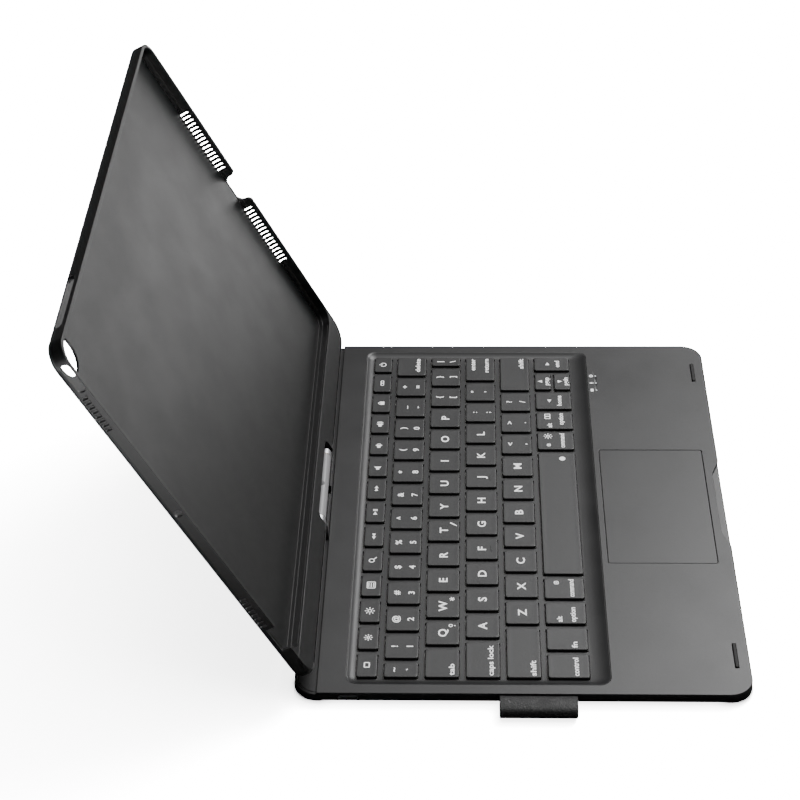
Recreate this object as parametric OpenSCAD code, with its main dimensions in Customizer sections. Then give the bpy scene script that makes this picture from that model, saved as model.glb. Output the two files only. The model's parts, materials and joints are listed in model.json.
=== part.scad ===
// Tablet keyboard case: a thin keyboard base, and a tablet shell on a central hinge
// that tilts about the barrel and swivels about a post in the shell's chin.
// X to the user's right, Y away from the user, Z up. Origin on the table plane, below the
// centre of the base. The shell is drawn flat in its own u, v, w frame and then set open.

/* [Base] */
// Width of the base
base_w = 252; // [248:1:310]
// Depth of the base
base_d = 197.5; // [195:0.5:240]
// Height of the casing from its underside to the deck
base_t = 6; // [5.6:0.1:9]
// Radius of the casing's corners in plan
base_corner_r = 10.5; // [6:0.5:16]
// Wall of the lower casing
base_wall = 1.4; // [1:0.1:2]
// Floor of the lower casing
floor_t = 1.2; // [0.8:0.1:1.6]
// Plate thickness of the deck
deck_t = 1.4; // [1.1:0.1:1.8]
// Height of the deck's visible rim above the parting line
rim_h = 1; // [0.7:0.1:1.3]
// Depth of the lowered ledge behind the deck
ledge_d = 10; // [9.4:0.1:12]
// Step down from the deck to the ledge
ledge_drop = 1.2; // [0.8:0.1:1.3]
// How far the rubber feet stand below the casing
foot_h = 0.6; // [0.4:0.1:2]
// How far the corner bumpers stand above the deck
bumper_h = 0.6; // [0.4:0.1:2.2]

/* [Keys] */
// Pitch of the letter keys across
key_pitch = 17.1; // [14:0.1:17.6]
// Pitch of the key rows
row_pitch = 17.8; // [16.5:0.1:20]
// Gap between neighbouring keys in a row
key_gap = 2.6; // [2:0.1:3.4]
// Front to back size of a letter key
key_d = 14.9; // [13.5:0.1:16]
// Front to back size of a function key
fn_key_d = 9.1; // [7:0.1:11]
// Front to back size of the front row's keys
front_key_d = 18.1; // [16:0.1:20]
// Radius of a key's corners
key_r = 1.2; // [0.6:0.1:2]
// Height of a keycap
key_h = 1.9; // [1.7:0.1:2.2]
// Travel of a key
key_travel = 1; // [0.6:0.1:1]
// How far the key tops lie below the deck
key_drop = 0.4; // [0.2:0.1:0.6]
// Clearance around the keys in their frame
key_clear = 0.3; // [0.2:0.05:0.45]
// Front slope of the key recess, front to back
slope_front = 8; // [6:0.5:10]
// Rear slope of the key recess
slope_rear = 3.4; // [2:0.2:5]
// Side slope of the key recess
slope_side = 3.2; // [2:0.2:4]

/* [Trackpad] */
// Width of the trackpad
pad_w = 82; // [70:1:110]
// Front to back size of the trackpad
pad_d = 50; // [40:1:60]
// Margin between the trackpad and the front edge
pad_front = 7.6; // [6:0.1:12]
// Offset of the trackpad's centre from the middle of the base
pad_x = -2; // [-10:0.5:10]
// Gap around the trackpad
pad_gap = 0.25; // [0.2:0.05:0.4]
// Travel of the trackpad's click
pad_travel = 0.25; // [0.1:0.05:0.25]

/* [Shell] */
// Length of the tablet pocket
pocket_w = 248.4; // [240:0.1:290]
// Width of the tablet pocket
pocket_h = 179.1; // [165:0.1:225]
// Wall around the pocket
shell_wall = 1.4; // [1.1:0.1:2]
// Back panel thickness
back_t = 1.2; // [1:0.1:1.4]
// Whole thickness of the shell
shell_t = 7.4; // [7:0.1:9]
// Radius of the shell's corners in plan
shell_corner_r = 9; // [6.5:0.5:11]
// Radius along the back edges
back_edge_r = 2.5; // [1.5:0.1:2.8]
// Distance from the hinge axis to the pocket
chin_h = 12; // [12:0.5:20]

/* [Hinge] */
// Height of the hinge axis over the table
axis_z = 15; // [13.4:0.1:16]
// Distance from the hinge axis to the base's rear edge
axis_back = 5.7; // [5.6:0.1:6.2]
// Opening angle at rest, measured from closed
open_deg = 117; // [90:1:135]
// Radius of the hinge barrel
barrel_r = 3; // [2.8:0.1:3.2]
// Length of the hinge barrel and its two knuckles
hinge_len = 52; // [43:0.5:63]
// Length of each knuckle
knuckle_l = 3.2; // [2.6:0.1:4]
// Radius of the tilt shaft
shaft_r = 1.5; // [1.2:0.05:1.6]
// Radius of the swivel post
post_r = 1.5; // [1.2:0.05:1.6]
// Running clearance of the shaft and the post
run_clear = 0.05; // [0.02:0.01:0.09]

/* [Pen loop] */
// Length of the pen loop
loop_l = 33.4; // [25:0.1:45]
// Inside width of the flattened loop
loop_in_w = 8.8; // [8:0.1:11]
// Inside height of the flattened loop
loop_in_h = 5; // [4.6:0.1:5.2]
// Thickness of the loop's material
loop_t = 0.8; // [0.6:0.1:1]
// Offset of the loop's middle from the middle of the base
loop_y = -6.5; // [-12:0.5:12]

/* [Hidden] */
$fn = 48;
e = 0.01;
touch = 0.1;

// Base levels
z_under = foot_h;
z_floor = z_under + floor_t;
z_deck = z_under + base_t;
z_part = z_deck - rim_h;
z_plate = z_deck - deck_t;
z_ledge = z_deck - ledge_drop;
y_front = -base_d / 2;
y_rear = base_d / 2;
y_ledge = y_rear - ledge_d;
y_axis = y_rear - axis_back;
casing_chamfer = 1.4;

// Key field: rows are counted from the front row, 0, to the function row, 5
field_w = 232;
field_x = -field_w / 2;
key_w = key_pitch - key_gap;
row_gap = row_pitch - key_d;
front_margin = 69.65;
y_row0 = y_front + front_margin;
function row_y(r) = r == 0 ? y_row0
    : r == 5 ? y_row0 + front_key_d + row_gap + 4 * row_pitch
    : y_row0 + front_key_d + row_gap + (r - 1) * row_pitch;
function row_d(r) = r == 0 ? front_key_d : r == 5 ? fn_key_d : key_d;
y_field_end = row_y(5) + fn_key_d;
z_key_top = z_deck - key_drop;
z_key_low = z_key_top - key_h;
z_web = z_deck - 1.7;
z_frame_low = z_web - 1;
cap_wall = 0.9;
cap_top_t = 0.7;
recess_w = field_w + 2 * (slope_side + 1.4);
y_recess_front = y_row0 - slope_front - 1;
y_recess_rear = y_field_end + slope_rear + 0.8;
recess_r = 5;
bowl_rim = 0.4;

// Key layout: first letter key's left edge in each row, and the wide keys that fill the ends
x_num = field_x + 8.8 + key_gap;
x_upper = field_x + 17.3 + key_gap;
x_home = field_x + 21.8 + key_gap;
x_lower = field_x + 30.5 + key_gap;
fn_pitch = 16.9;
mod_pitch = 16.25;
mod_w = mod_pitch - 2.7;
x_fn = field_x + mod_w + 0.9 + key_gap;
x_opt_l = x_fn + mod_pitch;
x_cmd_l = x_opt_l + mod_pitch;
x_space = x_cmd_l + mod_pitch;
x_right = -field_x - 11;
x_up = x_right - mod_pitch;
x_left = x_up - mod_pitch;
x_opt_r = x_left - mod_pitch;
x_cmd_r = x_opt_r - mod_pitch;
arrow_gap = 1.6;
arrow_d = (front_key_d - arrow_gap) / 2;

// Keys as [left, front, width, depth]: a run of equal keys, or one between two edges
function run(r, x0, count, pitch, w) = [for (i = [0:count - 1]) [x0 + i * pitch, row_y(r), w, row_d(r)]];
function one(r, x0, x1) = [[x0, row_y(r), x1 - x0, row_d(r)]];
at_function = run(5, field_x, 13, fn_pitch, fn_pitch - key_gap);
at_power = one(5, field_x + 13 * fn_pitch, -field_x);
at_number = concat(one(4, field_x, x_num - key_gap), run(4, x_num, 12, key_pitch, key_w));
at_delete = one(4, x_num + 12 * key_pitch, -field_x);
at_tab = one(3, field_x, x_upper - key_gap);
at_upper = concat(run(3, x_upper, 12, key_pitch, key_w), one(3, x_upper + 12 * key_pitch, -field_x));
at_caps_lock = one(2, field_x, x_home - key_gap);
at_home = run(2, x_home, 11, key_pitch, key_w);
at_enter = one(2, x_home + 11 * key_pitch, -field_x);
at_shift_left = one(1, field_x, x_lower - key_gap);
at_lower = run(1, x_lower, 10, key_pitch, key_w);
at_shift_right = one(1, x_lower + 10 * key_pitch, -field_x);
at_control = one(0, field_x, x_fn - key_gap);
at_fn = one(0, x_fn, x_fn + mod_w);
at_option_left = one(0, x_opt_l, x_opt_l + mod_w);
at_command_left = one(0, x_cmd_l, x_cmd_l + mod_w);
at_space = one(0, x_space, x_cmd_r - key_gap);
at_command_right = one(0, x_cmd_r, x_cmd_r + mod_w);
at_option_right = one(0, x_opt_r, x_opt_r + mod_w);
at_arrow_left = one(0, x_left, x_left + mod_w);
at_arrow_up = [[x_up, row_y(0) + arrow_d + arrow_gap, mod_w, arrow_d]];
at_arrow_down = [[x_up, row_y(0), mod_w, arrow_d]];
at_arrow_right = one(0, x_right, -field_x);
all_keys = concat(at_function, at_power, at_number, at_delete, at_tab, at_upper, at_caps_lock, at_home,
    at_enter, at_shift_left, at_lower, at_shift_right, at_control, at_fn, at_option_left,
    at_command_left, at_space, at_command_right, at_option_right, at_arrow_left, at_arrow_up,
    at_arrow_down, at_arrow_right);

// Stack below the keys
guide_t = 0.4;
support_t = 0.4;
circuit_t = 0.2;
z_guide = z_floor + 0.1;
z_support = z_guide + guide_t;
z_circuit = z_support + support_t;
sheet_t = 0.2;
z_sheet = z_circuit + circuit_t;
dome_r = 2;
press_gap = 0.1;
dome_h = z_key_top - cap_top_t - key_travel - press_gap - z_sheet - sheet_t;
stack_w = recess_w - 2;

// Trackpad
y_pad = y_front + pad_front + pad_d / 2;
pad_t = 1;
z_pad_top = z_deck - 0.1;
z_pad_low = z_pad_top - pad_t;
pad_board_t = 0.4;
z_board = z_floor + 0.3;
board_t = 0.8;
switch_h = z_pad_low - pad_board_t - pad_travel - press_gap / 2 - z_board - board_t;

// Shell levels in its own frame: w = 0 in the middle, v = 0 on the hinge axis
half_t = shell_t / 2;
w_floor = back_t - half_t;
shell_w = pocket_w + 2 * shell_wall;
v_top = chin_h + pocket_h + shell_wall;
v_mid = chin_h + pocket_h / 2;
cover_t = 1.2;
w_cover = half_t - cover_t;
chin_wall = 1.2;

// Hinge
notch_half = hinge_len / 2 + 1.8;
notch_v = 6.3;
notch_r = 3;
barrel_half = hinge_len / 2 - knuckle_l - 0.3;
washer_t = 0.2;
neck_v = 5.4;
housing_v0 = notch_v + chin_wall;
housing_v1 = housing_v0 + 2;
clip_t = 0.5;
bracket_t = 1.5;
ring_clear = 0.35;

// ---------- plan shapes ----------

// Rectangle with round corners, from its lower left corner
module round_rect(w, d, r) {
    translate([r, 0]) square([w - 2 * r, d]);
    translate([0, r]) square([w, d - 2 * r]);
    for (x = [r, w - r], y = [r, d - r])
        translate([x, y]) circle(r);
}

// The same, about its centre
module round_rect_c(w, d, r) {
    translate([-w / 2, -d / 2]) round_rect(w, d, r);
}

// A slot with round ends along the first axis, about its centre
module slot2d(l, w) {
    square([l - w, w], center = true);
    for (s = [-1, 1])
        translate([s * (l - w) / 2, 0]) circle(w / 2);
}

module plan(inset = 0) {
    round_rect_c(base_w - 2 * inset, base_d - 2 * inset, base_corner_r - inset);
}

// Thumb notch in the front edge, with angled ends
notch_top = 62;
notch_foot = 43;
notch_depth = 3.7;
scoop = 2;
module thumb_notch() {
    translate([0, y_front])
        polygon([[-notch_top / 2, -1], [-notch_top / 2, 0], [-notch_foot / 2 - 1, notch_depth - 0.4],
            [-notch_foot / 2, notch_depth], [notch_foot / 2, notch_depth],
            [notch_foot / 2 + 1, notch_depth - 0.4], [notch_top / 2, 0], [notch_top / 2, -1]]);
}

// ---------- casing ----------

bumper_l = 15;
bumper_w = 1.7;
bumper_x = base_w / 2 - 23.5;
y_bumper = y_front + 6;
lens_x = [for (i = [0:2]) -field_x - 28.4 + 6 * i];
y_lens = y_recess_front - 4.3;
lens_r = 0.45;
port_y = y_rear - 23.55;
port_w = 8.9;
port_h = 3.1;
port_l = 4.8;
z_port = z_under + 2.8;
boss_r = 1.9;
screw_x = base_w / 2 - base_wall - boss_r;
screw_ys = [y_front + 16.75, loop_y - loop_l / 2 - 6.8, loop_y + loop_l / 2 + 19.8, y_rear - 14.75];
head_r = 1.4;
head_t = 0.5;
head_gap = 0.1;
thread_r = 0.55;
bite = 0.5;
arm_x = hinge_len / 2 - knuckle_l / 2;
foot_l = 22;
foot_w = 5;
foot_sink = 0.5;
foot_gap = 0.1;
foot_x = base_w / 2 - 24;
foot_ys = [y_front + 14, y_rear - 14];

module lower_casing() {
    color([0.10, 0.10, 0.105]) difference() {
        union() {
            hull() {
                translate([0, 0, z_under]) linear_extrude(e) plan(casing_chamfer);
                translate([0, 0, z_under + casing_chamfer]) linear_extrude(e) plan();
            }
            translate([0, 0, z_under + casing_chamfer])
                linear_extrude(z_part - z_under - casing_chamfer) plan();
        }
        difference() {
            translate([0, 0, z_floor]) linear_extrude(base_t) plan(base_wall);
            translate([-notch_top / 2 - 3, y_front, 0])
                cube([notch_top + 6, notch_depth + 1.4, z_part - 0.1]);
            for (x = [-screw_x, screw_x], y = screw_ys)
                translate([x, y, 0]) cylinder(h = z_plate, r = boss_r);
        }
        translate([-base_w, y_ledge, z_ledge]) cube([2 * base_w, ledge_d + 1, base_t]);
        intersection() {
            linear_extrude(z_deck) thumb_notch();
            translate([-notch_top, 0, 0]) rotate([90, 0, 90]) linear_extrude(2 * notch_top)
                polygon([[y_front - 2, z_part - scoop], [y_front + notch_depth + 1, z_part - 0.3],
                    [y_front + notch_depth + 1, z_deck], [y_front - 2, z_deck]]);
        }
        for (x = [-screw_x, screw_x], y = screw_ys)
            translate([x, y, -e]) screw_hole();
        for (s = [-1, 1], y = foot_ys)
            translate([s * foot_x, y, z_under - e]) linear_extrude(foot_sink + e) slot2d(foot_l, foot_w);
        translate([-base_w / 2 - e, port_y, z_port]) rotate([90, 0, 90])
            linear_extrude(base_wall + 2 * e) slot2d(port_w, port_h);
        translate([-base_w / 2 - e, loop_y - loop_l / 2 + 1, z_loop - loop_t / 2])
            cube([base_wall + 2 * e, loop_l - 2, loop_t]);
    }
}

// Through hole and head recess, from below the table to the deck
module screw_hole() {
    cylinder(h = z_deck, r = 0.8);
    cylinder(h = z_under + head_t + 2 * head_gap, r = head_r + head_gap);
}

module deck_casing() {
    color([0.12, 0.12, 0.125]) difference() {
        union() {
            translate([0, 0, z_part]) linear_extrude(z_deck - z_part) plan();
            translate([0, 0, z_plate]) linear_extrude(z_part - z_plate + e) plan(base_wall + touch);
            intersection() {
                translate([0, 0, z_ledge - 1.2]) linear_extrude(1.2) plan(base_wall + touch);
                translate([-base_w / 2, y_ledge - 1.2, 0]) cube([base_w, ledge_d + 2, z_deck]);
            }
        }
        translate([-base_w, y_ledge, z_ledge]) cube([2 * base_w, ledge_d + 1, base_t]);
        translate([0, 0, z_floor]) linear_extrude(base_t) union() {
            thumb_notch();
            translate([-recess_w / 2, y_recess_front])
                round_rect(recess_w, y_recess_rear - y_recess_front, recess_r);
            translate([pad_x, y_pad])
                round_rect_c(pad_w + 2 * pad_gap, pad_d + 2 * pad_gap, 1.2);
            for (s = [-1, 1])
                translate([s * bumper_x, y_bumper]) square([bumper_l, bumper_w], center = true);
        }
        translate([-notch_top / 2 - 3 - touch, y_front, z_floor])
            cube([notch_top + 6 + 2 * touch, notch_depth + 1.4 + touch, z_part - z_floor]);
        for (x = lens_x)
            translate([x, y_lens, z_floor]) cylinder(h = base_t, r = lens_r);
        for (x = [-screw_x, screw_x], y = screw_ys)
            translate([x, y, z_floor]) cylinder(h = z_plate - z_floor + bite + 0.1, r = thread_r + 0.05);
        for (s = [-1, 1])
            translate([s * arm_x, y_axis, z_floor])
                translate([-knuckle_l / 2 - touch, -barrel_r - touch, 0])
                    cube([knuckle_l + 2 * touch, 2 * (barrel_r + touch), base_t]);
    }
}

// Screws that hold the two casings together, from below
module casing_screws() {
    color([0.45, 0.45, 0.47]) for (x = [-screw_x, screw_x], y = screw_ys)
        translate([x, y, 0]) {
            translate([0, 0, z_under + head_gap]) cylinder(h = head_t, r = head_r);
            translate([0, 0, z_under + head_gap + head_t])
                cylinder(h = z_plate + bite - z_under - head_gap - head_t, r = thread_r);
        }
}

module rubber_feet() {
    color([0.07, 0.07, 0.07]) for (s = [-1, 1], y = foot_ys)
        translate([s * foot_x, y, 0]) linear_extrude(z_under + foot_sink)
            slot2d(foot_l - 2 * foot_gap, foot_w - 2 * foot_gap);
}

module corner_bumpers() {
    flange_t = 0.4;
    stem_h = deck_t + bumper_h;
    color([0.05, 0.05, 0.05]) for (s = [-1, 1])
        translate([s * bumper_x, y_bumper, z_plate]) {
            translate([0, 0, -flange_t / 2])
                cube([bumper_l + 1.6, bumper_w + 1.2, flange_t], center = true);
            translate([0, 0, stem_h / 2]) cube([bumper_l - 0.2, bumper_w - 0.2, stem_h], center = true);
        }
}

module status_lenses() {
    color([0.75, 0.78, 0.8]) for (x = lens_x)
        translate([x, y_lens, z_plate - 0.6]) cylinder(h = z_deck - z_plate + 0.6, r = lens_r);
}

module charge_port() {
    color([0.6, 0.6, 0.62]) translate([-base_w / 2 + 0.2, port_y, z_port]) rotate([90, 0, 90]) {
        difference() {
            linear_extrude(port_l) slot2d(port_w - 0.1, port_h - 0.1);
            translate([0, 0, -e]) linear_extrude(port_l - 0.5) slot2d(port_w - 0.7, port_h - 0.7);
        }
        translate([0, 0, 0.6]) linear_extrude(port_l - 0.7) square([port_w - 2.4, 0.7], center = true);
    }
}

// ---------- keyboard ----------

// Outline of the recess at a fraction of the way out from the key field to the deck
module bowl_slice(f, h = e) {
    half = field_w / 2 + key_clear + f * (slope_side + 1.4 - key_clear - bowl_rim);
    front = y_row0 - key_clear + f * (y_recess_front + bowl_rim - y_row0 + key_clear);
    rear = y_field_end + key_clear + f * (y_recess_rear - bowl_rim - y_field_end - key_clear);
    translate([-half, front, z_web + (z_deck - z_web) * f * f]) linear_extrude(h)
        round_rect(2 * half, rear - front, 1.5 + f * (recess_r - 1.5 - bowl_rim));
}

module key_frame() {
    steps = [0, 0.35, 0.65, 0.85, 1];
    color([0.09, 0.09, 0.095]) difference() {
        translate([-recess_w / 2 + touch, y_recess_front + touch, z_frame_low])
            linear_extrude(z_deck - z_frame_low)
                round_rect(recess_w - 2 * touch, y_recess_rear - y_recess_front - 2 * touch, recess_r - touch);
        for (i = [0:3]) hull() {
            bowl_slice(steps[i]);
            bowl_slice(steps[i + 1]);
        }
        bowl_slice(1, 1);
        for (k = all_keys)
            translate([k[0] - key_clear, k[1] - key_clear, 0])
                cube([k[2] + 2 * key_clear, k[3] + 2 * key_clear, z_deck]);
    }
}

// One keycap, hollow below; x is its left edge and y its front edge
module cap(x, y, w, d) {
    translate([x, y, z_key_low]) difference() {
        linear_extrude(key_h) round_rect(w, d, key_r);
        translate([cap_wall, cap_wall, -e])
            cube([w - 2 * cap_wall, d - 2 * cap_wall, key_h - cap_top_t + e]);
    }
}

module caps(list) {
    color([0.11, 0.11, 0.115]) for (k = list)
        cap(k[0], k[1], k[2], k[3]);
}

module keys_function() { caps(at_function); }
module key_power() { caps(at_power); }
module keys_number() { caps(at_number); }
module key_delete() { caps(at_delete); }
module key_tab() { caps(at_tab); }
module keys_upper() { caps(at_upper); }
module key_caps_lock() { caps(at_caps_lock); }
module keys_home() { caps(at_home); }
module key_enter() { caps(at_enter); }
module key_shift_left() { caps(at_shift_left); }
module keys_lower() { caps(at_lower); }
module key_shift_right() { caps(at_shift_right); }
module key_control() { caps(at_control); }
module key_fn() { caps(at_fn); }
module key_option_left() { caps(at_option_left); }
module key_command_left() { caps(at_command_left); }
module key_space() { caps(at_space); }
module key_command_right() { caps(at_command_right); }
module key_option_right() { caps(at_option_right); }
module key_arrow_left() { caps(at_arrow_left); }
module key_arrow_up() { caps(at_arrow_up); }
module key_arrow_down() { caps(at_arrow_down); }
module key_arrow_right() { caps(at_arrow_right); }

// Flat sheet below the keys, from height z
module stack_sheet(z, t, inset) {
    translate([-stack_w / 2 + inset, y_recess_front + 1 + inset, z])
        cube([stack_w - 2 * inset, y_recess_rear - y_recess_front - 2 - 2 * inset, t]);
}

module light_guide() { color([0.85, 0.87, 0.88]) stack_sheet(z_guide, guide_t, 2); }
module support_plate() { color([0.7, 0.7, 0.72]) stack_sheet(z_support, support_t, 0); }
module membrane_circuit() { color([0.3, 0.32, 0.3]) stack_sheet(z_circuit, circuit_t, 1); }

// One rubber dome under the middle of each key
module dome_sheet() {
    color([0.8, 0.8, 0.78]) {
        stack_sheet(z_sheet, sheet_t, 1);
        for (k = all_keys)
            translate([k[0] + k[2] / 2, k[1] + k[3] / 2, z_sheet])
                cylinder(h = sheet_t + dome_h, r = dome_r, $fn = 24);
    }
}

// ---------- inside the palm rest ----------

module main_board() {
    color([0.08, 0.25, 0.15]) translate([pad_x, y_pad, z_board]) {
        translate([0, 0, board_t / 2]) cube([pad_w - 8, pad_d - 8, board_t], center = true);
        for (p = [[-26, 6, 8], [-8, -8, 6], [14, 8, 7], [28, -6, 5]])
            translate([p[0], p[1], board_t + 0.5]) cube([p[2], p[2], 1], center = true);
    }
}

module click_switch() {
    color([0.75, 0.75, 0.77])
        translate([pad_x, y_front + pad_front + 10, z_board + board_t + switch_h / 2])
            cube([5, 5, switch_h], center = true);
}

battery_w = 58;
battery_d = 40;
battery_t = 2.4;
module battery_cells() {
    color([0.5, 0.52, 0.55]) for (s = [-1, 1])
        translate([pad_x + s * (pad_w / 2 + 6 + battery_w / 2), y_pad + 2, z_floor + 0.1 + battery_t / 2])
            cube([battery_w, battery_d, battery_t], center = true);
}

module trackpad() {
    color([0.13, 0.13, 0.135]) translate([pad_x, y_pad, z_pad_low])
        linear_extrude(pad_t) round_rect_c(pad_w, pad_d, 1);
}

module trackpad_board() {
    color([0.08, 0.25, 0.15]) translate([pad_x, y_pad, z_pad_low - pad_board_t / 2])
        cube([pad_w - 6, pad_d - 6, pad_board_t], center = true);
}

// ---------- pen loop ----------

z_loop = z_under + loop_in_h / 2 + loop_t;
module pen_loop() {
    loop_h = loop_in_h + 2 * loop_t;
    loop_w = loop_in_w + 2 * loop_t;
    color([0.09, 0.09, 0.09]) translate([0, loop_y + loop_l / 2, z_loop]) rotate([90, 0, 0]) {
        linear_extrude(loop_l) translate([-base_w / 2 - loop_w / 2, 0]) difference() {
            slot2d(loop_w, loop_h);
            slot2d(loop_in_w, loop_in_h);
        }
        translate([0, 0, 1.1]) linear_extrude(loop_l - 2.2)
            translate([-base_w / 2 - 0.2, -loop_t / 2 + 0.05]) square([base_wall + 2.2, loop_t - 0.1]);
    }
}

// ---------- hinge ----------

module along_x(h, r) {
    rotate([0, 90, 0]) cylinder(h = h, r = r, center = true);
}

module at_axis() {
    translate([0, y_axis, axis_z]) children();
}

plate_x = hinge_len / 2 + 6;
plate_y0 = y_recess_rear + 1.6;
plate_y1 = y_rear - base_wall - 0.6;
bracket_screw = [plate_x - 3, (plate_y0 + plate_y1) / 2 - 3];
module hinge_bracket() {
    color([0.62, 0.63, 0.65]) difference() {
        union() {
            translate([-plate_x, plate_y0, z_floor + touch])
                cube([2 * plate_x, plate_y1 - plate_y0, bracket_t]);
            for (s = [-1, 1]) translate([s * arm_x, 0, 0]) {
                translate([-knuckle_l / 2, y_axis - barrel_r, z_floor + touch])
                    cube([knuckle_l, 2 * barrel_r, axis_z - z_floor - touch]);
                at_axis() along_x(knuckle_l, barrel_r);
            }
        }
        at_axis() along_x(hinge_len + 2, shaft_r + run_clear / 2);
        for (s = [-1, 1])
            translate([s * bracket_screw[0], bracket_screw[1], z_floor]) cylinder(h = 3, r = 0.8);
    }
}

module bracket_screws() {
    color([0.5, 0.5, 0.52]) for (s = [-1, 1])
        translate([s * bracket_screw[0], bracket_screw[1], 0]) {
            translate([0, 0, z_floor + 0.1]) cylinder(h = bracket_t, r = 0.75);
            translate([0, 0, z_floor + touch + bracket_t]) cylinder(h = 0.8, r = 1.5);
        }
}

// Black saddle that hides the bracket below the barrel, slotted where the neck swings
cradle_r = 4.1;
neck_reach = norm([neck_v, post_r + 1]) + ring_clear;
module hinge_cradle() {
    color([0.08, 0.08, 0.085]) difference() {
        translate([-hinge_len / 2 - 0.4, y_axis - cradle_r, z_ledge])
            cube([hinge_len + 0.8, 2 * cradle_r, axis_z - 1.2 - z_ledge]);
        at_axis() along_x(hinge_len + 2, barrel_r + ring_clear);
        at_axis() along_x(2 * (post_r + 1 + ring_clear), neck_reach);
        for (s = [-1, 1])
            translate([s * arm_x - knuckle_l / 2 - touch, y_axis - barrel_r - touch, 0])
                cube([knuckle_l + 2 * touch, 2 * (barrel_r + touch), axis_z]);
    }
}

module tilt_shaft() {
    color([0.55, 0.55, 0.57]) at_axis() along_x(hinge_len, shaft_r);
}

module friction_washers() {
    color([0.8, 0.75, 0.55]) for (s = [-1, 1])
        translate([s * (barrel_half + 0.15), 0, 0]) at_axis() difference() {
            along_x(washer_t, barrel_r - 0.2);
            along_x(1, shaft_r + run_clear);
        }
}

// Sets a piece drawn in the shell's frame at the opening angle
module opened() {
    translate([0, y_axis, axis_z]) rotate([180 - open_deg, 0, 0]) children();
}

module along_v(v0, v1, r) {
    translate([0, v0, 0]) rotate([-90, 0, 0]) cylinder(h = v1 - v0, r = r);
}

module hinge_barrel() {
    color([0.72, 0.73, 0.75]) opened() difference() {
        union() {
            along_x(2 * barrel_half, barrel_r);
            along_v(0, neck_v, post_r + 1);
        }
        along_x(hinge_len, shaft_r + run_clear);
        along_v(shaft_r + 0.5, neck_v + 1, post_r);
    }
}

module swivel_post() {
    color([0.6, 0.6, 0.62]) opened() difference() {
        along_v(shaft_r + 0.5, housing_v1 + 1.2, post_r);
        translate([0, housing_v1 + 0.1, 0]) rotate([-90, 0, 0]) difference() {
            cylinder(h = clip_t, r = post_r + 1);
            translate([0, 0, -e]) cylinder(h = clip_t + 1, r = post_r - 0.3);
        }
    }
}

module post_clip() {
    color([0.4, 0.4, 0.42]) opened()
        translate([0, housing_v1 + 0.1, 0]) rotate([-90, 0, 0]) difference() {
            cylinder(h = clip_t, r = post_r + 0.7);
            translate([0, 0, -e]) cylinder(h = clip_t + 1, r = post_r - 0.3);
        }
}

// ---------- tablet shell ----------

// Thin slice of the shell at height w: the nose curves round the axis, the back edges round in
module shell_slice(w) {
    low = w + half_t < back_edge_r ? back_edge_r - w - half_t : 0;
    inset = back_edge_r - sqrt(back_edge_r * back_edge_r - low * low);
    nose = sqrt(half_t * half_t - w * w);
    translate([-shell_w / 2 + inset, -nose, w < 0 ? w : w - e]) linear_extrude(e)
        round_rect(shell_w - 2 * inset, v_top + nose - inset, shell_corner_r - inset);
}

// Whole shell without its pocket: round back edges and a full round nose on the axis
module shell_body() {
    hull() for (a = [-90:15:90])
        shell_slice(half_t * sin(a));
}

// Notch in the chin for the barrel, with rounded inner and outer corners
module hinge_notch() {
    flare = 3.5;
    translate([0, 0, -shell_t]) linear_extrude(2 * shell_t) union() {
        translate([-notch_half + notch_r, -shell_t]) square([2 * (notch_half - notch_r), notch_v + shell_t]);
        translate([-notch_half, -shell_t]) square([2 * notch_half, notch_v + shell_t - notch_r]);
        for (s = [-1, 1]) {
            translate([s * (notch_half - notch_r), notch_v - notch_r]) circle(notch_r);
            difference() {
                translate([s * (notch_half + flare / 2 - e), -shell_t / 2])
                    square([flare, shell_t + 2 * (flare - half_t)], center = true);
                translate([s * (notch_half + flare), flare - half_t]) circle(flare);
            }
        }
    }
}

// Region of the shell that the chin's front cover takes
module cover_zone(gap = 0) {
    translate([-shell_w, -gap, w_cover - gap]) cube([2 * shell_w, chin_h + gap, shell_t]);
}

// A row of upright slots through a side wall; s is the side, v0 the first slot's centre
slot_w = 1.2;
slot_pitch_r = 2.31;
slot_pitch_l = 2.4;
module slot_row(s, v0, count, pitch, w_mid, height) {
    for (i = [0:count - 1])
        wall_slot(s, v0 + i * pitch, slot_w, w_mid, height);
}

// One slot through a side wall, l long in v and h high in w
module wall_slot(s, v, l, w_mid, h) {
    translate([s * (shell_w / 2 - shell_wall / 2), v, w_mid]) rotate([90, 0, 90])
        translate([0, 0, -shell_wall - 1]) linear_extrude(2 * shell_wall + 2) {
            if (l > h) slot2d(l, h);
            else rotate(90) slot2d(h, l);
        }
}

camera_r = 8.4;
camera_u = -112.1;
camera_v = v_top - 10.8;
volume_u = -90.7;
volume_l = 33.4;
ledge_w = -0.6;
ledge_in = 0.3;
lip_h = 0.5;
lip_in = 0.35;
pocket_r = shell_corner_r - shell_wall;

module pocket_cut(inset, w0, w1) {
    translate([0, v_mid, w0]) linear_extrude(w1 - w0)
        round_rect_c(pocket_w - 2 * inset, pocket_h - 2 * inset, pocket_r - inset);
}

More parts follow.
